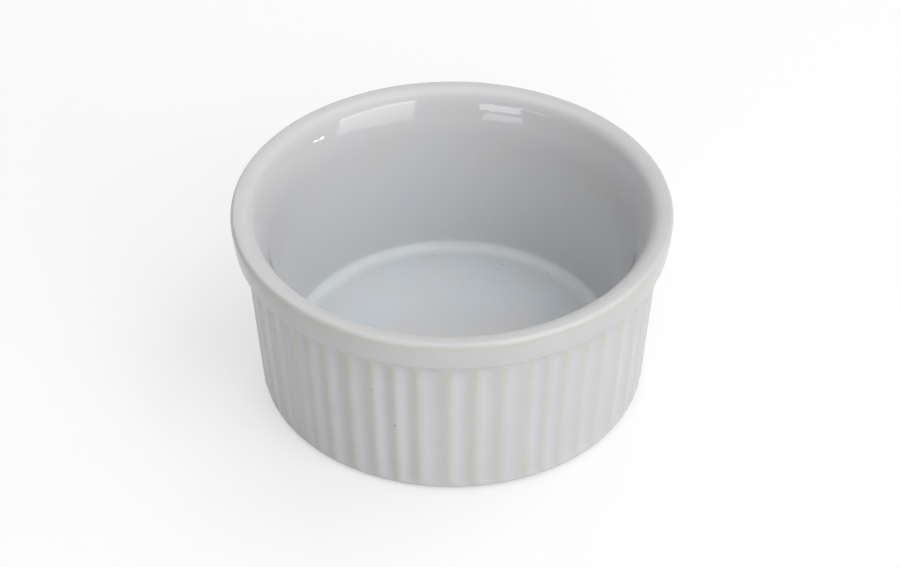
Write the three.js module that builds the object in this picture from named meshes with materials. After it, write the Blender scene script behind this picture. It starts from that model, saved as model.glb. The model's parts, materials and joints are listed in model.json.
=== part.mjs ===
// A round stoneware ramekin for baked custard: one clay body with a fluted wall under a plain
// collar, a bare foot ring, and three fused coats of white glaze.
// Millimetres, +Z up. The origin is the centre of the circle that the foot ring stands on.

import * as THREE from 'three';

// Rim and collar
const rimDiameter = 90;
const dishHeight = 42;
const rimCrown = 0.6;
const crestInset = 1.8;
const rimCorner = 1.2;
const collarHeight = 5.3;
const collarTaper = 0.7;
const collarStep = 1.8;
const collarUndercut = 0.8;

// Fluted wall
const wallTaper = 2.2;
const flutePitch = 5;
const fluteDepth = 0.45;
const fluteFade = 1.6;
const fluteTurn = -0.125;

// Clay and glaze
const clayWall = 2.5;
const clayFloor = 2;
const glazeCoat = 0.4;
const bondGap = 0.3;

// Inside
const lipDepth = 7.2;
const lipRoll = 0.6;
const lipLean = 1.7;
const insideTaper = 4.2;
const floorFillet = 4;

// Foot
const bareFoot = 0.5;
const glazedCorner = 0.9;
const footWidth = 4;
const footRecess = 1.2;

// Facets
const fluteFacets = 3;
const insideFacets = 72;
const cornerFacets = 2;
const lipFacets = 4;
const filletFacets = 3;

// Each ridge is set off from an even pitch by two slow waves round the wall, as on hand-finished
// ware: cycles round the dish, swing in pitches, phase in degrees.
const ridgeWaves = [
  { cycles: 6, swing: 0.2, phase: 13 },
  { cycles: 9, swing: 0.12, phase: -119 },
];

const rimRadius = rimDiameter / 2;
const collarRadius = rimRadius - collarTaper;
const wallRadius = collarRadius - collarStep;
const baseRadius = wallRadius - wallTaper;
const crestRadius = rimRadius - crestInset;
const claySink = glazeCoat + bondGap;
const insideRadius = wallRadius - clayWall - 2 * claySink;
const baseCorner = bareFoot + glazedCorner;
const footRadius = baseRadius - baseCorner;
const footBore = footRadius - footWidth;
const recessCeiling = footRecess + claySink;
const floorLevel = recessCeiling + clayFloor + claySink;
const cornerLevel = dishHeight - rimCrown - rimCorner;
const collarLevel = cornerLevel - collarHeight;
const wallLevel = collarLevel - collarUndercut;
const lipLevel = dishHeight - lipDepth;
const floorRadius = insideRadius - insideTaper;
const fluteCount = Math.round((2 * Math.PI * wallRadius) / flutePitch);

// A point of the section: radius, height, and how much of the flute depth is cut there.
function spot(r, z, flute = 0) {
  return { r, z, flute };
}

// Points on a circular arc in the section, from one angle to the other, in radians.
function arc(centreR, centreZ, radius, from, to, steps, flute = 0) {
  const points = [];
  for (let i = 0; i <= steps; i += 1) {
    const angle = from + ((to - from) * i) / steps;
    points.push(spot(centreR + radius * Math.cos(angle), centreZ + radius * Math.sin(angle), flute));
  }
  return points;
}

// The glazed surface outside, from the end of the glaze above the foot up to the crest of the rim.
function outsideLine() {
  const glazeEnd = -Math.asin(glazedCorner / baseCorner);
  return [
    ...arc(footRadius, baseCorner, baseCorner, glazeEnd, 0, cornerFacets, 1),
    spot(wallRadius, wallLevel - fluteFade, 1),
    spot(wallRadius, wallLevel),
    spot(collarRadius, collarLevel),
    ...arc(rimRadius - rimCorner, cornerLevel, rimCorner, 0, Math.PI / 3, cornerFacets),
    spot(crestRadius, dishHeight),
  ];
}

// The glazed surface inside, from the crest of the rim down the lip and the wall to the axis.
function insideLine() {
  const lip = new THREE.QuadraticBezierCurve(
    new THREE.Vector2(crestRadius, dishHeight),
    new THREE.Vector2(insideRadius + lipLean, dishHeight - lipRoll),
    new THREE.Vector2(insideRadius, lipLevel),
  );
  const lean = Math.atan2(insideTaper, lipLevel - floorLevel);
  const filletR = floorRadius - floorFillet * Math.tan(Math.PI / 4 - lean / 2);
  return [
    ...lip.getPoints(lipFacets).map((point) => spot(point.x, point.y)),
    ...arc(filletR, floorLevel + floorFillet, floorFillet, -lean, -Math.PI / 2, filletFacets),
    spot(0, floorLevel),
  ];
}

// The line moved into the clay by a distance, square to the surface, with mitred corners.
function sunk(line, distance) {
  return line.map((point, i) => {
    const before = line[Math.max(i - 1, 0)];
    const after = line[Math.min(i + 1, line.length - 1)];
    const normals = [[before, point], [point, after]]
      .map(([a, b]) => new THREE.Vector2(a.z - b.z, b.r - a.r))
      .filter((normal) => normal.length() > 0)
      .map((normal) => normal.normalize());
    const sum = normals.reduce((total, normal) => total.add(normal), new THREE.Vector2());
    const half = sum.length() / normals.length;
    const shift = sum.normalize().multiplyScalar(distance / half);
    const r = point.r > 0 ? point.r + shift.x : 0;
    return spot(r, point.z + shift.y, point.flute);
  });
}

// The point moved along the radius, keeping its height.
function moved(point, distance) {
  return spot(point.r + distance, point.z, point.flute);
}

// The angle of a ridge round the wall, in radians from the front.
function ridgeAngle(index) {
  const wander = ridgeWaves.reduce((total, { cycles, swing, phase }) => {
    const turn = (2 * Math.PI * cycles * index) / fluteCount;
    return total + swing * Math.sin(turn + THREE.MathUtils.degToRad(phase));
  }, fluteTurn);
  return (2 * Math.PI * (index + wander)) / fluteCount;
}

// The section turned round the axis, with each column of points set on a ridge or in a scallop.
function flutedLathe(section) {
  const columns = fluteCount * fluteFacets;
  const geometry = new THREE.LatheGeometry(section.map(({ r, z }) => new THREE.Vector2(r, z)), columns);
  const position = geometry.attributes.position;
  for (let i = 0; i <= columns; i += 1) {
    const ridge = Math.floor(i / fluteFacets);
    const across = (i % fluteFacets) / fluteFacets;
    const angle = THREE.MathUtils.lerp(ridgeAngle(ridge), ridgeAngle(ridge + 1), across);
    const scallop = 4 * across * (1 - across) * fluteDepth;
    section.forEach(({ r, z, flute }, j) => {
      const radius = r - flute * scallop;
      const vertex = i * section.length + j;
      position.setXYZ(vertex, radius * Math.sin(angle), z, radius * Math.cos(angle));
    });
  }
  return geometry;
}

function plainLathe(section) {
  return new THREE.LatheGeometry(section.map(({ r, z }) => new THREE.Vector2(r, z)), insideFacets);
}

// A lathe turns about Y, so each piece is stood up on Z.
function piece(name, geometry, look) {
  geometry.rotateX(Math.PI / 2);
  geometry.computeVertexNormals();
  const mesh = new THREE.Mesh(geometry, new THREE.MeshStandardMaterial(look));
  mesh.name = name;
  return mesh;
}

const clay = { color: 0xcbb89a, roughness: 0.85, metalness: 0 };
const linerGlaze = { color: 0xdfe2e4, roughness: 0.1, metalness: 0 };
const outerGlaze = { color: 0xe6e6e2, roughness: 0.12, metalness: 0 };

const outside = outsideLine();
const surface = [...outside, ...insideLine().slice(1)];
const glazeBack = sunk(surface, glazeCoat);
const crest = outside.length - 1;

const bodySection = [
  spot(0, recessCeiling),
  spot(footBore, recessCeiling),
  spot(footBore, 0),
  spot(footRadius, 0),
  ...sunk(surface, claySink),
];

// The two upper coats meet at the crest of the rim, each ending on an upright face.
const seam = bondGap / 2;
const outsideFace = [...surface.slice(0, crest), moved(surface[crest], seam)];
const outsideBack = [...glazeBack.slice(0, crest), moved(glazeBack[crest], seam)];
const insideFace = [moved(surface[crest], -seam), ...surface.slice(crest + 1)];
const insideBack = [moved(glazeBack[crest], -seam), ...glazeBack.slice(crest + 1)];
const outsideSection = [...outsideFace, ...outsideBack.reverse(), outsideFace[0]];
const insideSection = [...insideBack.reverse(), ...insideFace];

const undersideSection = [
  spot(0, footRecess),
  spot(footBore - bondGap, footRecess),
  spot(footBore - bondGap, footRecess + glazeCoat),
  spot(0, footRecess + glazeCoat),
];

const dish = new THREE.Group();
dish.add(
  piece('stoneware_body', flutedLathe(bodySection), clay),
  piece('outside_glaze', flutedLathe(outsideSection), outerGlaze),
  piece('inside_glaze', plainLathe(insideSection), linerGlaze),
  piece('underside_glaze', plainLathe(undersideSection), linerGlaze),
);

export default dish;
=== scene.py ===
import json
import math

import bpy
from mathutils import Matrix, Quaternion, Vector, noise
from mathutils.bvhtree import BVHTree


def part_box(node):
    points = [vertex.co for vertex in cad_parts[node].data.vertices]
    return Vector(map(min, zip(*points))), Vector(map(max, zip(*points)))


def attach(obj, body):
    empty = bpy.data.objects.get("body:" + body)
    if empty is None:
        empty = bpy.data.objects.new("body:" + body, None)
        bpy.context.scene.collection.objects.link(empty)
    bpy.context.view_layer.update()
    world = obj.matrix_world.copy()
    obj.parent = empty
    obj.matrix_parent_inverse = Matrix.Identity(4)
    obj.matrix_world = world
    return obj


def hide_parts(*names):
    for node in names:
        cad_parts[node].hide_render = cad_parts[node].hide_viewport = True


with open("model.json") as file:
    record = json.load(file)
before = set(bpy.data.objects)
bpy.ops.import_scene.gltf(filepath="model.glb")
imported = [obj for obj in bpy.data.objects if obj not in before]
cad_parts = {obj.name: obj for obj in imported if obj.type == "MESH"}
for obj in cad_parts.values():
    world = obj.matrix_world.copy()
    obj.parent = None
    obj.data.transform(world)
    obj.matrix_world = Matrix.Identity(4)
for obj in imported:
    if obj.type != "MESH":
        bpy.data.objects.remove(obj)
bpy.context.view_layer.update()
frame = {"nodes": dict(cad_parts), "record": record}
print("frame loaded:", ", ".join(sorted(frame["nodes"])))

# sizes that the frame gives, in millimetres
mm = 0.001
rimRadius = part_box("outside_glaze")[1].x / mm
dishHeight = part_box("outside_glaze")[1].z / mm
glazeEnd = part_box("outside_glaze")[0].z / mm
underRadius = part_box("underside_glaze")[1].x / mm
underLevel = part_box("underside_glaze")[0].z / mm
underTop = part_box("underside_glaze")[1].z / mm
glazeCoat = underTop - underLevel
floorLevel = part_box("inside_glaze")[0].z / mm + glazeCoat
footMiddle = frame["record"]["mounts"][0]["pos_m"][0] / mm


# a section line through knots: (radius, height, heading of travel in degrees, steps to the next knot)
def curveThrough(knots):
    line = []
    for (r0, z0, h0, steps), (r1, z1, h1, _) in zip(knots, knots[1:]):
        chord = math.hypot(r1 - r0, z1 - z0)
        half = abs(math.radians(h1 - h0)) / 2
        pull = chord * (half / math.sin(half) if half > 1e-4 else 1.0)
        d0 = [pull * f(math.radians(h0)) for f in (math.cos, math.sin)]
        d1 = [pull * f(math.radians(h1)) for f in (math.cos, math.sin)]
        for i in range(steps):
            t = i / steps
            a, b = (1 + 2 * t) * (1 - t) ** 2, t * (1 - t) ** 2
            c, d = t * t * (3 - 2 * t), t * t * (t - 1)
            r = a * r0 + b * d0[0] + c * r1 + d * d1[0]
            z = a * z0 + b * d0[1] + c * z1 + d * d1[1]
            line.append((r, z))
    line.append(knots[-1][:2])
    return line


def normalsOf(line):
    found = []
    for i in range(len(line)):
        a, b = line[max(i - 1, 0)], line[min(i + 1, len(line) - 1)]
        dr, dz = b[0] - a[0], b[1] - a[1]
        size = math.hypot(dr, dz) or 1.0
        found.append((dz / size, -dr / size))
    return found


def runOf(line):
    run = [0.0]
    for a, b in zip(line, line[1:]):
        run.append(run[-1] + math.hypot(b[0] - a[0], b[1] - a[1]))
    return run


def smooth(low, high, x):
    t = min(max((x - low) / (high - low), 0.0), 1.0)
    return t * t * (3 - 2 * t)


def bell(x, width):
    return math.exp(-(x / width) ** 2)


# glaze coat: one skin from the foot over the rim to the middle of the floor
coat = {
    "margin": 0.07,              # room for the unevenness inside the CAD box
    "unevenness": 0.035,         # slow waves of the fired surface
    "backClear": 0.05,           # the skin is this much thinner than the CAD coat
    "columns": 18,               # to each flute
    "flutes": 53,
    "fluteDepth": 0.42,
    "fluteTurn": -0.125,         # in pitches, from the front
    "fluteFoot": (0.3, 1.9),     # flutes fade in above the end of the glaze
    "fluteHead": (9.3, 7.9),     # and out below the top
    "depthSwings": ((0.16, 2.4, 0), (0.1, 5.1, 1)),   # share, turn at each flute, phase
    "ridgeRound": 0.6,
    "waves": ((6, 0.2, 13), (9, 0.12, -119)),         # cycles, swing in pitches, phase
    "nudges": {                  # single ridges off their place, in pitches
        -6: -0.11, -5: -0.13, -2: -0.085, -1: -0.14, 0: 0.06, 2: -0.065, 4: -0.08, 5: -0.045, 6: 0.09,
    },
    # where the glaze changes its tone, and where painted sheen and a painted highlight lie on it
    "creamShare": (0.75, 0.75),  # on a ridge, and more of it near the collar
    "creamRise": (16, 10),       # below the top
    "ridgeWidth": (0.8, 0.25),   # a width and how much it wanders
    # a band of pooled glaze with a painted sheen, lighter and bluer, on the side of each ridge that faces
    # the key light
    "flowSheenPlace": 1.5,            # past the ridge
    "flowSheenWidth": (0.75, 0.2),
    "rimCorner": (0.07, 0.78),   # in from the edge and down from the top
    "rimWander": 0.15,
    "rimAbove": 0.4,
    "rimBelow": (1.4, 0.5),
    "satinFade": (0.6, 1.6),     # below the top
    "linerFade": (2, 5.5),       # past the crest
    # the floor ring: pooled glaze with a painted highlight of the fillet
    "ringOuter": (34.7, 34.3),   # radii
    "ringInner": (32.0, 33.4),
    "floorFade": (34.9, 34.2),
}

edge = rimRadius - coat["margin"]
top = dishHeight - coat["margin"]
coatKnots = [
    (edge - 5.25, glazeEnd, 42, 5),
    (edge - 4.6, glazeEnd + 1.4, 86, 34),
    (edge - 2.5, top - 8.5, 86, 7),
    (edge - 1.68, top - 7.15, 33, 4),
    (edge - 0.8, top - 6.5, 41, 6),
    (edge - 0.5, top - 5.85, 81, 10),
    (edge, top - 1.05, 90, 5),
    (edge - 0.17, top - 0.38, 120, 8),
    (edge - 0.82, top, 180, 14),
    (edge - 3.76, top - 0.78, 218, 14),
    (edge - 5.0, top - 2.4, 241.5, 16),
    (edge - 6.65, top - 6.3, 252.5, 14),
    (edge - 7.25, top - 8.6, 259.5, 12),
    (edge - 8.95, top - 20.43, 263.2, 9),
    (edge - 10.25, floorLevel + 1.8, 265, 12),
    (edge - 11.9, floorLevel, 180, 14),
    (edge * 0.1, floorLevel, 180, 1),
]


def ridgeAngle(index):
    half = coat["flutes"] // 2
    away = (index + half) % coat["flutes"] - half
    wander = coat["fluteTurn"] + coat["nudges"].get(away, 0.0)
    for cycles, swing, phase in coat["waves"]:
        wander += swing * math.sin(2 * math.pi * cycles * index / coat["flutes"] + math.radians(phase))
    return 2 * math.pi * (index + wander) / coat["flutes"]


def fluteColumns():
    # (angle, depth share, width of this flute as an angle, place across it)
    columns = []
    low = coat["ridgeRound"]
    deepest = math.sqrt(1 + low * low) - low
    for ridge in range(coat["flutes"]):
        start, stop = ridgeAngle(ridge), ridgeAngle(ridge + 1)
        width = stop - start
        depth = 1.0
        for share, turn, phase in coat["depthSwings"]:
            depth += share * math.sin(ridge * turn + phase)
        for i in range(coat["columns"]):
            across = i / coat["columns"]
            arch = math.sqrt(math.sin(math.pi * across) ** 2 + low * low) - low
            columns.append((start + width * across, depth * arch / deepest, width, across))
    return columns


def fluteShare(z):
    # how much of the flute is cut at a height
    footLow, footHigh = coat["fluteFoot"]
    headLow, headHigh = coat["fluteHead"]
    cut = smooth(glazeEnd + footLow, glazeEnd + footHigh, z)
    return cut * (1 - smooth(top - headLow, top - headHigh, z))


def unevenAt(point):
    broad = noise.noise(point * 0.09)
    fine = noise.noise(point * 0.24 + Vector((7, 3, 5)))
    return coat["unevenness"] * (broad + 0.45 * fine)


def meshFrom(name, verts, faces, layers=()):
    mesh = bpy.data.meshes.new(name)
    mesh.from_pydata([[c * mm for c in v] for v in verts], [], faces)
    for label, values in layers:
        mesh.attributes.new(label, "FLOAT", "POINT").data.foreach_set("value", values)
    mesh.polygons.foreach_set("use_smooth", [True] * len(mesh.polygons))
    mesh.set_sharp_from_angle(angle=math.radians(55))
    mesh.validate()
    piece = bpy.data.objects.new(name, mesh)
    bpy.context.scene.collection.objects.link(piece)
    return piece


def ringFaces(rows, columns):
    faces = []
    for j in range(rows - 1):
        a = j * columns
        for i in range(columns):
            k = (i + 1) % columns
            faces.append((a + i, a + k, a + columns + k, a + columns + i))
    return faces


def crestOf(line):
    return max(range(len(line)), key=lambda j: line[j][1])


def cornerOf(line, crest):
    inward, down = coat["rimCorner"]
    r, z = edge - inward, top - down
    return min(range(crest), key=lambda j: abs(line[j][0] - r) + abs(line[j][1] - z))


def outsideTones(z, share, past, aside, above, wander):
    low, rise = coat["creamShare"]
    start, stop = coat["creamRise"]
    cream = low + rise * smooth(top - start, top - stop, z)
    ridgeWide, ridgeSway = coat["ridgeWidth"]
    flowSheenWide, flowSheenSway = coat["flowSheenWidth"]
    rimWide, rimSway = coat["rimBelow"]
    plain, dull = coat["satinFade"]
    return {
        "ridge": cream * share * bell(aside, ridgeWide + ridgeSway * wander),
        # painted sheen with pooled glaze, just past each ridge
        "flowAndSheen": share * bell(past - coat["flowSheenPlace"], flowSheenWide + flowSheenSway * wander),
        "rimEdge": bell(above, coat["rimAbove"] if above > 0 else rimWide + rimSway * wander),
        "satin": smooth(top - plain, top - dull, z),
    }


def insideTones(r, pastCrest, wander):
    return {
        # pooled glaze ring with a painted highlight
        "ringAndHighlight": smooth(*coat["ringOuter"], r) * smooth(*coat["ringInner"], r + 0.5 * wander),
        "inside": smooth(*coat["linerFade"], pastCrest),
        "floor": smooth(*coat["floorFade"], r),
    }


def buildCoat():
    columns = fluteColumns()
    count = len(columns)
    face = curveThrough(coatKnots)
    normals = normalsOf(face)
    run = runOf(face)
    crest = crestOf(face)
    corner = cornerOf(face, crest)
    thick = glazeCoat - coat["backClear"]
    # the hidden back of the skin takes every third row
    keep = sorted({*range(0, len(face), 3), len(face) - 1}, reverse=True)
    rows = [(j, 0.0) for j in range(len(face))] + [(j, thick) for j in keep]
    masks = {label: [] for label in ("ridge", "rimEdge", "flowAndSheen", "ringAndHighlight", "inside", "floor", "satin")}
    verts = []
    for j, inset in rows:
        (r, z), (nr, nz) = face[j], normals[j]
        outer = j <= crest
        share = fluteShare(z) if outer else 0.0
        for angle, depth, width, across in columns:
            turn = (math.sin(angle), -math.cos(angle))
            wave = unevenAt(Vector((r * turn[0], r * turn[1], z))) * min(r / 12, 1.0)
            radius = r - share * depth * coat["fluteDepth"] + nr * (wave - inset)
            verts.append((radius * turn[0], radius * turn[1], z + nz * (wave - inset)))
            wander = noise.noise(Vector((turn[0] * 5, turn[1] * 5, z * 0.12)))
            if outer:
                past = across * width * r
                aside = min(past, width * r - past)
                above = run[j] - run[corner] + coat["rimWander"] * wander
                tones = outsideTones(z, share, past, aside, above, wander)
            else:
                tones = insideTones(r, run[j] - run[crest], wander)
            for label, values in masks.items():
                values.append(tones.get(label, 0.0))
    faces = ringFaces(len(rows), count)
    last = (len(rows) - 1) * count
    faces += [(last + i, last + (i + 1) % count, (i + 1) % count, i) for i in range(count)]
    # the middle of the floor is closed to a point, above and below
    centre = len(verts)
    verts += [(0, 0, floorLevel), (0, 0, floorLevel - thick)]
    for label, values in masks.items():
        values += [1.0 if label in ("inside", "floor") else 0.0] * 2
    cut = (len(face) - 1) * count
    faces = [f for f in faces if not (cut <= f[0] < cut + count <= f[2])]
    faces += [(cut + i, cut + (i + 1) % count, centre) for i in range(count)]
    faces += [(cut + count + (i + 1) % count, cut + count + i, centre + 1) for i in range(count)]
    return meshFrom("glaze_coat", verts, faces, list(masks.items()))


# clay body: solid under the glaze, bare at the foot ring
clay = {
    "columns": 240,
    "under": 0.12,           # clear of the back of the glaze
    "bond": 0.3,             # between the clay and the glaze under the foot
    "footRound": 0.35,
    "recessDraft": 0.5,
    "unevenness": 0.02,
}


def turned(name, line, columns, wave):
    # a closed solid of revolution: the line starts and ends near the axis
    normals = normalsOf(line)
    verts = []
    for (r, z), (nr, nz) in zip(line, normals):
        for i in range(columns):
            angle = 2 * math.pi * i / columns
            x, y = math.sin(angle), -math.cos(angle)
            # the face that it rests on stays flat
            lift = wave * noise.noise(Vector((x * r, y * r, z)) * 0.35) if z > 0.02 else 0.0
            verts.append(((r + nr * lift) * x, (r + nr * lift) * y, z + nz * lift))
    faces = ringFaces(len(line), columns)
    last = (len(line) - 1) * columns
    verts += [(0, 0, line[0][1]), (0, 0, line[-1][1])]
    for i in range(columns):
        k = (i + 1) % columns
        faces.append((k, i, len(verts) - 2))
        faces.append((last + i, last + k, len(verts) - 1))
    return meshFrom(name, verts, faces)


def buildClay():
    footBore = underRadius + clay["bond"]
    footRadius = 2 * footMiddle - footBore
    soft = clay["footRound"]
    ceiling = underTop + clay["bond"]
    sunk = glazeCoat + clay["under"]
    foot = [
        (4.0, ceiling, 0, 6),
        (footBore - clay["recessDraft"] - soft, ceiling, 0, 3),
        (footBore - clay["recessDraft"], ceiling - soft, 285, 3),
        (footBore - 0.1, soft, 285, 4),
        (footBore + soft, 0, 360, 4),
        (footRadius - soft, 0, 360, 4),
        (footRadius, soft, 440, 3),
        (edge - 5.65, glazeEnd + 0.35, 425, 1),
    ]
    face = curveThrough(coatKnots)
    normals = normalsOf(face)
    crest = crestOf(face)
    upper = []
    for j in range(2, len(face), 2):
        (r, z), (nr, nz) = face[j], normals[j]
        # deep enough for the deepest flute
        flute = coat["fluteDepth"] * 1.3 * fluteShare(z) if j <= crest else 0.0
        upper.append((r - flute - nr * sunk, z - nz * sunk))
    line = curveThrough(foot) + upper
    return turned("stoneware_body_bare", line, clay["columns"], clay["unevenness"])


# underside glaze: a thin coat in the recess, drawn up at its edge
underCoat = {"columns": 180, "sag": 0.05, "edgeRound": 0.18, "unevenness": 0.02}


def buildUnderside():
    rim = underRadius
    soft = underCoat["edgeRound"]
    line = curveThrough([
        (3.0, underLevel + underCoat["sag"], 0, 14),
        (rim - 3.0, underLevel + underCoat["sag"] * 0.4, 0, 6),
        (rim - soft, underLevel, 0, 4),
        (rim, underLevel + soft, 90, 4),
        (rim - soft, underTop, 180, 6),
        (3.0, underTop, 180, 1),
    ])
    return turned("underside_glaze_coat", line, underCoat["columns"], underCoat["unevenness"])


def addNode(tree, kind, x, y, settings=None, **sockets):
    made = tree.nodes.new(kind)
    made.location = (x, y)
    for key, value in (settings or {}).items():
        setattr(made, key, value)
    for key, value in sockets.items():
        made.inputs[key].default_value = value
    return made


def addMath(tree, x, y, operation):
    return addNode(tree, "ShaderNodeMath", x, y, {"operation": operation})


def addRange(tree, x, y, fromMin, fromMax, toMin, toMax, interpolation="LINEAR"):
    made = addNode(tree, "ShaderNodeMapRange", x, y, {"interpolation_type": interpolation})
    for key, value in (("From Min", fromMin), ("From Max", fromMax), ("To Min", toMin), ("To Max", toMax)):
        made.inputs[key].default_value = value
    return made


def newGroup(name, inputs, outputs):
    tree = bpy.data.node_groups.new(name, "ShaderNodeTree")
    for label, kind, value in inputs:
        tree.interface.new_socket(label, in_out="INPUT", socket_type=kind).default_value = value
    for label, kind in outputs:
        tree.interface.new_socket(label, in_out="OUTPUT", socket_type=kind)
    return tree, addNode(tree, "NodeGroupInput", -900, 0), addNode(tree, "NodeGroupOutput", 700, 0)


def useGroup(tree, group, x, y, **values):
    return addNode(tree, "ShaderNodeGroup", x, y, {"node_tree": group}, **values)


def mixColour(tree, x, y):
    return addNode(tree, "ShaderNodeMix", x, y, {"data_type": "RGBA"})


def makeCloudGroup():
    # soft mottling of a fired glaze, its orange-peel relief and scattered pinholes
    tree, inn, out = newGroup(
        "glazeCloud",
        [("CloudScale", "NodeSocketFloat", 90.0), ("PeelScale", "NodeSocketFloat", 700.0),
         ("PinScale", "NodeSocketFloat", 120.0), ("PinSize", "NodeSocketFloat", 0.05)],
        [("Cloud", "NodeSocketFloat"), ("Peel", "NodeSocketFloat"), ("Pins", "NodeSocketFloat")],
    )
    link = tree.links.new
    place = addNode(tree, "ShaderNodeTexCoord", -900, 300)
    cloud = addNode(tree, "ShaderNodeTexNoise", -500, 300, Detail=4.0, Roughness=0.55)
    peel = addNode(tree, "ShaderNodeTexNoise", -500, 0, Detail=2.0, Roughness=0.5)
    pins = addNode(tree, "ShaderNodeTexVoronoi", -500, -300)
    chance = addNode(tree, "ShaderNodeSeparateColor", -250, -450)
    few = addMath(tree, -50, -450, "GREATER_THAN")
    few.inputs[1].default_value = 0.93      # only a few cells have a pinhole
    near = addRange(tree, -250, -250, 0.0, 1.0, 1.0, 0.0)
    both = addMath(tree, 200, -300, "MULTIPLY")
    for tex, scale in ((cloud, "CloudScale"), (peel, "PeelScale"), (pins, "PinScale")):
        link(place.outputs["Object"], tex.inputs["Vector"])
        link(inn.outputs[scale], tex.inputs["Scale"])
    link(pins.outputs["Distance"], near.inputs["Value"])
    link(inn.outputs["PinSize"], near.inputs["From Max"])
    link(pins.outputs["Color"], chance.inputs["Color"])
    link(chance.outputs["Red"], few.inputs[0])
    link(near.outputs["Result"], both.inputs[0])
    link(few.outputs["Value"], both.inputs[1])
    link(cloud.outputs["Fac"], out.inputs["Cloud"])
    link(peel.outputs["Fac"], out.inputs["Peel"])
    link(both.outputs["Value"], out.inputs["Pins"])
    return tree


glazeLook = {
    "outer": (0.765, 0.765, 0.769, 1),
    "liner": ((0.686, 0.683, 0.679, 1), (0.679, 0.682, 0.712, 1)),    # grey to blue
    "floor": ((0.722, 0.717, 0.727, 1), (0.682, 0.737, 0.768, 1)),
    # pooled glaze, brightened by a painted highlight of the fillet
    "ringAndHighlight": (0.84, 0.88, 0.9, 1),
    # pooled glaze with a painted sheen of the lit side of each ridge
    "flowAndSheen": (0.768, 0.773, 0.818, 1),
    "broken": (0.76, 0.726, 0.615, 1),
    "rimEdge": (0.705, 0.69, 0.605, 1),
    "shaded": (0.69, 0.682, 0.672, 1),
    "pin": (0.33, 0.31, 0.28, 1),
    "drift": (0.4, 0.6, 0.0, 1.0),           # cloud to the share of blue
    "mottle": (0.45, 0.85, 0.0, 0.35),       # cloud to the share of the shaded tone
    "roughness": (0.3, 0.7, 0.025, 0.05),    # cloud to roughness
    "satin": 0.2,                            # roughness of the collar and the flutes
    "spots": (                               # turn from the front in degrees, radius, height, size
        (-64.9, 41.6, 27.4, 0.35), (-58.6, 41.7, 26.9, 0.3), (-21.8, 42, 25.8, 0.22),
        (-16.0, 41.4, 17.2, 0.34), (48.4, 42, 32.1, 0.28), (142.1, 37.8, 30.8, 0.25),
        (-166.8, 36.3, 20.5, 0.25), (-172.0, 31.2, 4.6, 0.22), (157.8, 29.6, 4.6, 0.25),
        (138.7, 32.3, 4.8, 0.25),
    ),
}


def addSpots(tree, place, piece, x, y):
    # each spot is set on the nearest place of the skin
    mesh = piece.data
    skin = BVHTree.FromPolygons([v.co for v in mesh.vertices], [p.vertices for p in mesh.polygons])
    last = None
    for turn, radius, height, size in glazeLook["spots"]:
        angle = math.radians(turn)
        spot = Vector((radius * math.sin(angle), -radius * math.cos(angle), height)) * mm
        far = addNode(tree, "ShaderNodeVectorMath", x, y, {"operation": "DISTANCE"})
        far.inputs[1].default_value = skin.find_nearest(spot)[0]
        dot = addRange(tree, x + 180, y, 0.2 * size * mm, size * mm, 1.0, 0.0, "SMOOTHSTEP")
        tree.links.new(place, far.inputs[0])
        tree.links.new(far.outputs["Value"], dot.inputs["Value"])
        if last is None:
            last = dot.outputs["Result"]
        else:
            more = addMath(tree, x + 360, y, "MAXIMUM")
            tree.links.new(last, more.inputs[0])
            tree.links.new(dot.outputs["Result"], more.inputs[1])
            last = more.outputs["Value"]
        y -= 160
    return last


def newMaterial(name):
    made = bpy.data.materials.new(name)
    made.use_nodes = True
    return made, made.node_tree, made.node_tree.nodes["Principled BSDF"]


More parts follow.
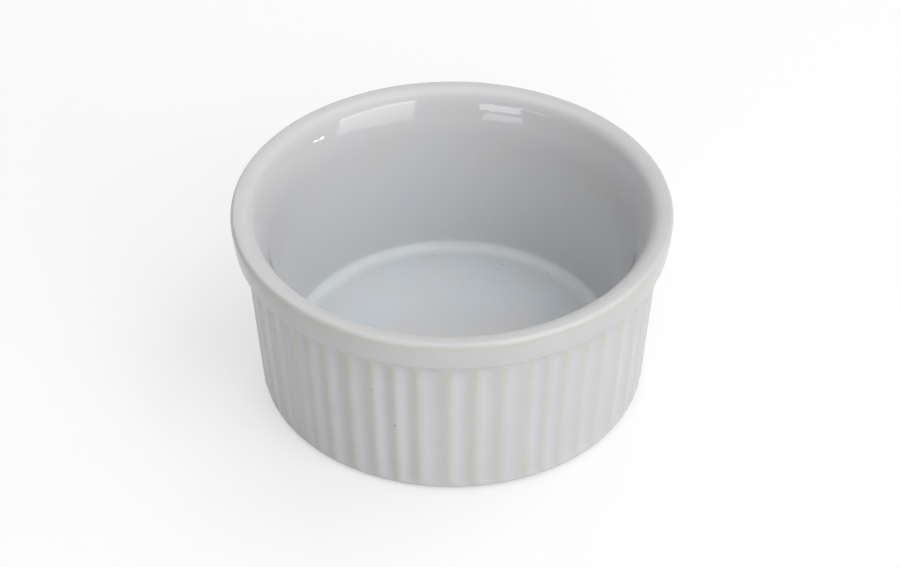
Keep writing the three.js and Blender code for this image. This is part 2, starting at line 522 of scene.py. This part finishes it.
def makeGlaze(cloudGroup, piece):
    made, tree, shader = newMaterial("white_glaze")
    link = tree.links.new
    place = addNode(tree, "ShaderNodeTexCoord", -1700, -500)
    masks = {}
    for i, label in enumerate(("inside", "floor", "flowAndSheen", "ringAndHighlight", "rimEdge", "ridge", "satin")):
        mask = addNode(tree, "ShaderNodeAttribute", -1700, 500 - 180 * i, {"attribute_name": label})
        masks[label] = mask.outputs["Fac"]
    cloud = useGroup(tree, cloudGroup, -1700, -250,
                     CloudScale=140.0, PeelScale=650.0, PinScale=260.0, PinSize=0.05)

    # slow drift of the liner from grey to blue
    drift = useGroup(tree, cloudGroup, -2200, 500, CloudScale=48.0)
    cool = addRange(tree, -2000, 500, *glazeLook["drift"])
    link(drift.outputs["Cloud"], cool.inputs["Value"])

    # each mask lays its own tone over the one before
    # the flow band carries a painted sheen and the floor ring a painted highlight, both over pooled glaze
    layers = (("inside", "liner"), ("floor", "floor"), ("flowAndSheen", "flowAndSheen"), ("ringAndHighlight", "ringAndHighlight"))
    tone = None
    for i, (label, look) in enumerate(layers):
        laid = mixColour(tree, -1200 + 130 * i, 500 - 60 * i)
        link(masks[label], laid.inputs["Factor"])
        if label in ("inside", "floor"):
            tint = mixColour(tree, -1450 + 130 * i, 700 - 60 * i)
            tint.inputs["A"].default_value, tint.inputs["B"].default_value = glazeLook[look]
            link(cool.outputs["Result"], tint.inputs["Factor"])
            link(tint.outputs["Result"], laid.inputs["B"])
        else:
            laid.inputs["B"].default_value = glazeLook[look]
        if tone is None:
            laid.inputs["A"].default_value = glazeLook["outer"]
        else:
            link(tone.outputs["Result"], laid.inputs["A"])
        tone = laid

    # the glaze thins to cream on the ridges and to tan on the rim's edge, in patches
    for i, (label, look) in enumerate((("ridge", "broken"), ("rimEdge", "rimEdge"))):
        patchy = addMath(tree, -1000, 50 - 160 * i, "MULTIPLY")
        link(masks[label], patchy.inputs[0])
        link(cloud.outputs["Cloud"], patchy.inputs[1])
        broken = mixColour(tree, -700 + 60 * i, 300)
        broken.inputs["B"].default_value = glazeLook[look]
        link(patchy.outputs["Value"], broken.inputs["Factor"])
        link(tone.outputs["Result"], broken.inputs["A"])
        tone = broken

    # faint mottling over all of it
    cloudy = mixColour(tree, -600, 300)
    cloudy.inputs["B"].default_value = glazeLook["shaded"]
    mottle = addRange(tree, -800, 50, *glazeLook["mottle"])
    link(cloud.outputs["Cloud"], mottle.inputs["Value"])
    link(mottle.outputs["Result"], cloudy.inputs["Factor"])
    link(tone.outputs["Result"], cloudy.inputs["A"])

    # iron specks and pinholes
    spots = addSpots(tree, place.outputs["Object"], piece, -1700, -700)
    pins = addMath(tree, -800, -300, "MAXIMUM")
    link(cloud.outputs["Pins"], pins.inputs[0])
    link(spots, pins.inputs[1])
    speckled = mixColour(tree, -400, 300)
    speckled.inputs["B"].default_value = glazeLook["pin"]
    link(pins.outputs["Value"], speckled.inputs["Factor"])
    link(cloudy.outputs["Result"], speckled.inputs["A"])
    link(speckled.outputs["Result"], shader.inputs["Base Color"])

    # gloss, duller on the collar and the flutes
    bump = addNode(tree, "ShaderNodeBump", -300, -200, Strength=0.06, Distance=0.0004)
    link(cloud.outputs["Peel"], bump.inputs["Height"])
    link(bump.outputs["Normal"], shader.inputs["Normal"])
    gloss = addRange(tree, -500, -50, *glazeLook["roughness"])
    link(cloud.outputs["Cloud"], gloss.inputs["Value"])
    satin = addNode(tree, "ShaderNodeMix", -300, -50, {"data_type": "FLOAT"})
    satin.inputs["B"].default_value = glazeLook["satin"]
    link(masks["satin"], satin.inputs["Factor"])
    link(gloss.outputs["Result"], satin.inputs["A"])
    link(satin.outputs["Result"], shader.inputs["Roughness"])
    shader.inputs["IOR"].default_value = 1.5
    return made


underLook = {
    "colour": (0.74, 0.735, 0.71, 1),
    "shaded": (0.63, 0.62, 0.58, 1),
    "pin": (0.2, 0.17, 0.13, 1),
    "roughness": 0.16,
}


def makeUnderGlaze(cloudGroup):
    made, tree, shader = newMaterial("thin_under_glaze")
    link = tree.links.new
    cloud = useGroup(tree, cloudGroup, -900, 0,
                     CloudScale=110.0, PeelScale=500.0, PinScale=220.0, PinSize=0.12)
    tone = mixColour(tree, -500, 200)
    tone.inputs["A"].default_value = underLook["colour"]
    tone.inputs["B"].default_value = underLook["shaded"]
    speckled = mixColour(tree, -300, 200)
    speckled.inputs["B"].default_value = underLook["pin"]
    bump = addNode(tree, "ShaderNodeBump", -300, -200, Strength=0.1, Distance=0.0004)
    link(cloud.outputs["Cloud"], tone.inputs["Factor"])
    link(tone.outputs["Result"], speckled.inputs["A"])
    link(cloud.outputs["Pins"], speckled.inputs["Factor"])
    link(speckled.outputs["Result"], shader.inputs["Base Color"])
    link(cloud.outputs["Peel"], bump.inputs["Height"])
    link(bump.outputs["Normal"], shader.inputs["Normal"])
    shader.inputs["Roughness"].default_value = underLook["roughness"]
    return made


clayLook = {
    "pale": (0.50, 0.42, 0.31, 1),
    "dark": (0.34, 0.27, 0.19, 1),
    "grit": (0.14, 0.10, 0.07, 1),
    "gritDots": (0.05, 0.2, 0.7, 0.0),       # distance from a grain to the share of its tone
    "roughness": 0.85,
}


def makeClay():
    made, tree, shader = newMaterial("bare_stoneware")
    link = tree.links.new
    place = addNode(tree, "ShaderNodeTexCoord", -1100, 0)
    blotch = addNode(tree, "ShaderNodeTexNoise", -800, 200, Scale=160.0, Detail=6.0, Roughness=0.65)
    grain = addNode(tree, "ShaderNodeTexNoise", -800, -100, Scale=2600.0, Detail=3.0)
    grit = addNode(tree, "ShaderNodeTexVoronoi", -800, -400, Scale=900.0)
    body = mixColour(tree, -500, 200)
    body.inputs["A"].default_value = clayLook["pale"]
    body.inputs["B"].default_value = clayLook["dark"]
    gritty = mixColour(tree, -250, 200)
    gritty.inputs["B"].default_value = clayLook["grit"]
    dots = addRange(tree, -500, -300, *clayLook["gritDots"])
    bump = addNode(tree, "ShaderNodeBump", -250, -200, Strength=0.5, Distance=0.0002)
    for tex in (blotch, grain, grit):
        link(place.outputs["Object"], tex.inputs["Vector"])
    link(blotch.outputs["Fac"], body.inputs["Factor"])
    link(grit.outputs["Distance"], dots.inputs["Value"])
    link(dots.outputs["Result"], gritty.inputs["Factor"])
    link(body.outputs["Result"], gritty.inputs["A"])
    link(gritty.outputs["Result"], shader.inputs["Base Color"])
    link(grain.outputs["Fac"], bump.inputs["Height"])
    link(bump.outputs["Normal"], shader.inputs["Normal"])
    shader.inputs["Roughness"].default_value = clayLook["roughness"]
    return made


# the dish put together
cloudGroup = makeCloudGroup()
skin = buildCoat()
parts = (
    (skin, makeGlaze(cloudGroup, skin), ("outside_glaze", "inside_glaze"), "outer_glaze"),
    (buildClay(), makeClay(), ("stoneware_body",), "clay"),
    (buildUnderside(), makeUnderGlaze(cloudGroup), ("underside_glaze",), "under_glaze"),
)
for piece, material, nodes, slot in parts:
    piece.data.materials.append(material)
    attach(piece, "root")
    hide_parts(*nodes)
    print("piece:", piece.name, len(piece.data.polygons), "faces")


# floor, light and camera, in metres
studio = {
    "floorSize": 40.0,
    "floorColour": (0.55, 0.55, 0.55, 1),
    "floorRoughness": 0.9,
    "floorGlow": (0.52, 0.96),   # seen, not cast: near the dish, and where the lamps don't reach
    "glowRise": (0.35, 1.3),     # distance from the dish where one turns into the other
    "ambient": (0.1, 0.1, 0.1, 1),
    "lampDistance": 1.6,
}


def addSeenRays(tree, x, y):
    # 1 for what the camera sees, straight or in a gloss or through glass
    rays = addNode(tree, "ShaderNodeLightPath", x, y)
    first = addMath(tree, x + 200, y, "MAXIMUM")
    second = addMath(tree, x + 400, y, "MAXIMUM")
    tree.links.new(rays.outputs["Is Camera Ray"], first.inputs[0])
    tree.links.new(rays.outputs["Is Glossy Ray"], first.inputs[1])
    tree.links.new(first.outputs["Value"], second.inputs[0])
    tree.links.new(rays.outputs["Is Transmission Ray"], second.inputs[1])
    return second.outputs["Value"]


def buildFloor():
    half = studio["floorSize"] / 2
    corners = [(-half, -half, 0), (half, -half, 0), (half, half, 0), (-half, half, 0)]
    mesh = bpy.data.meshes.new("floor")
    mesh.from_pydata(corners, [], [(0, 1, 2, 3)])
    floor = bpy.data.objects.new("floor", mesh)
    bpy.context.scene.collection.objects.link(floor)
    made, tree, shader = newMaterial("pale_floor")
    link = tree.links.new
    shader.inputs["Base Color"].default_value = studio["floorColour"]
    shader.inputs["Roughness"].default_value = studio["floorRoughness"]
    shader.inputs["Emission Color"].default_value = (1, 1, 1, 1)
    place = addNode(tree, "ShaderNodeTexCoord", -900, -500)
    far = addNode(tree, "ShaderNodeVectorMath", -700, -500, {"operation": "LENGTH"})
    level = addRange(tree, -500, -500, *studio["glowRise"], *studio["floorGlow"], "SMOOTHSTEP")
    glow = addMath(tree, -250, -200, "MULTIPLY")
    link(place.outputs["Object"], far.inputs[0])
    link(far.outputs["Value"], level.inputs["Value"])
    link(addSeenRays(tree, -900, -200), glow.inputs[0])
    link(level.outputs["Result"], glow.inputs[1])
    link(glow.outputs["Value"], shader.inputs["Emission Strength"])
    mesh.materials.append(made)


def buildWorld():
    world = bpy.data.worlds.new("studio")
    world.use_nodes = True
    world.node_tree.nodes["Background"].inputs["Color"].default_value = studio["ambient"]
    bpy.context.scene.world = world


# upright panels for the shapes in the gloss, square to a bearing in degrees right of the front:
# name, bearing, distance, shift along the panel, width, lower edge, upper edge, radiance
panels = (
    ("key_foot", 18, 0.85, 0.52, 0.94, 0.085, 0.2, 1.9),
    ("key_low", 18, 0.85, 0.52, 0.94, 0.2, 0.32, 2.5),
    ("key_mid", 18, 0.85, 0.52, 0.94, 0.32, 0.46, 3.1),
    ("key_high", 18, 0.85, 0.52, 0.94, 0.46, 0.6, 4.6),
    ("window_low", -28, 1.0, -0.035, 0.41, 0.09, 0.245, 2.6),
    ("window_high", -28, 1.0, 0.005, 0.43, 0.3, 0.44, 4.2),
    ("window_edge", -28, 1.0, -0.4, 0.38, 0.435, 0.465, 4.0),
    ("glint", 78, 1.0, 0.032, 0.11, 0.14, 0.168, 16.0),
)
# soft lamps aimed at the dish: name, bearing, rise, size, radiance, shows in the gloss
lamps = (
    ("front_low", 0, 20, 1.0, 1.6, False),
    ("front_soft", 0, 50, 1.0, 0.7, False),
    ("right_low", 46, 20, 1.0, 1.9, False),
    ("right_soft", 50, 50, 1.0, 1.6, False),
    ("behind_soft", 112, 50, 1.0, 1.3, False),
    ("left_soft", 255, 60, 1.0, 0.42, False),
    ("back_soft", 180, 20, 1.0, 2.0, False),
    ("over_soft", 165, 84, 1.6, 0.8, True),
)


def addLamp(name, spot, facing, wide, tall, radiance):
    light = bpy.data.lights.new(name, "AREA")
    light.shape = "RECTANGLE"
    light.size, light.size_y = wide, tall
    light.energy = radiance * math.pi * wide * tall
    lamp = bpy.data.objects.new(name, light)
    lamp.location = spot
    lamp.rotation_euler = facing.to_track_quat("-Z", "Y").to_euler()
    lamp.visible_camera = False
    bpy.context.scene.collection.objects.link(lamp)
    return lamp


def buildLamps():
    for name, bearing, away, along, wide, low, high, radiance in panels:
        angle = math.radians(bearing)
        front = Vector((math.sin(angle), -math.cos(angle), 0))
        side = Vector((math.cos(angle), math.sin(angle), 0))
        spot = front * away + side * along
        spot.z = (low + high) / 2
        panel = addLamp(name, spot, -front, wide, high - low, radiance)
        panel.visible_diffuse = False
    for name, bearing, rise, size, radiance, gloss in lamps:
        angle, lift = math.radians(bearing), math.radians(rise)
        level = math.cos(lift)
        front = Vector((math.sin(angle) * level, -math.cos(angle) * level, math.sin(lift)))
        lamp = addLamp(name, front * studio["lampDistance"], -front, size, size, radiance)
        lamp.visible_glossy = gloss


view = {
    "tilt": 38.6,            # degrees above level
    "roll": -0.19,
    "distance": 0.4942,
    "aim": (-0.000444, 0.0, 0.02112),
    "lens": 94.9,
    "sensor": 36.0,
}


def buildCamera():
    data = bpy.data.cameras.new("camera")
    data.sensor_fit = "HORIZONTAL"
    data.sensor_width = view["sensor"]
    data.lens = view["lens"]
    camera = bpy.data.objects.new("camera", data)
    tilt = math.radians(view["tilt"])
    away = Vector((0, -math.cos(tilt), math.sin(tilt)))
    camera.location = Vector(view["aim"]) + away * view["distance"]
    level = (-away).to_track_quat("-Z", "Y")
    camera.rotation_euler = (level @ Quaternion((0, 0, 1), math.radians(view["roll"]))).to_euler()
    bpy.context.scene.collection.objects.link(camera)
    bpy.context.scene.camera = camera


buildFloor()
buildWorld()
buildLamps()
buildCamera()
bpy.context.scene.view_settings.view_transform = "Standard"
print("studio ready")
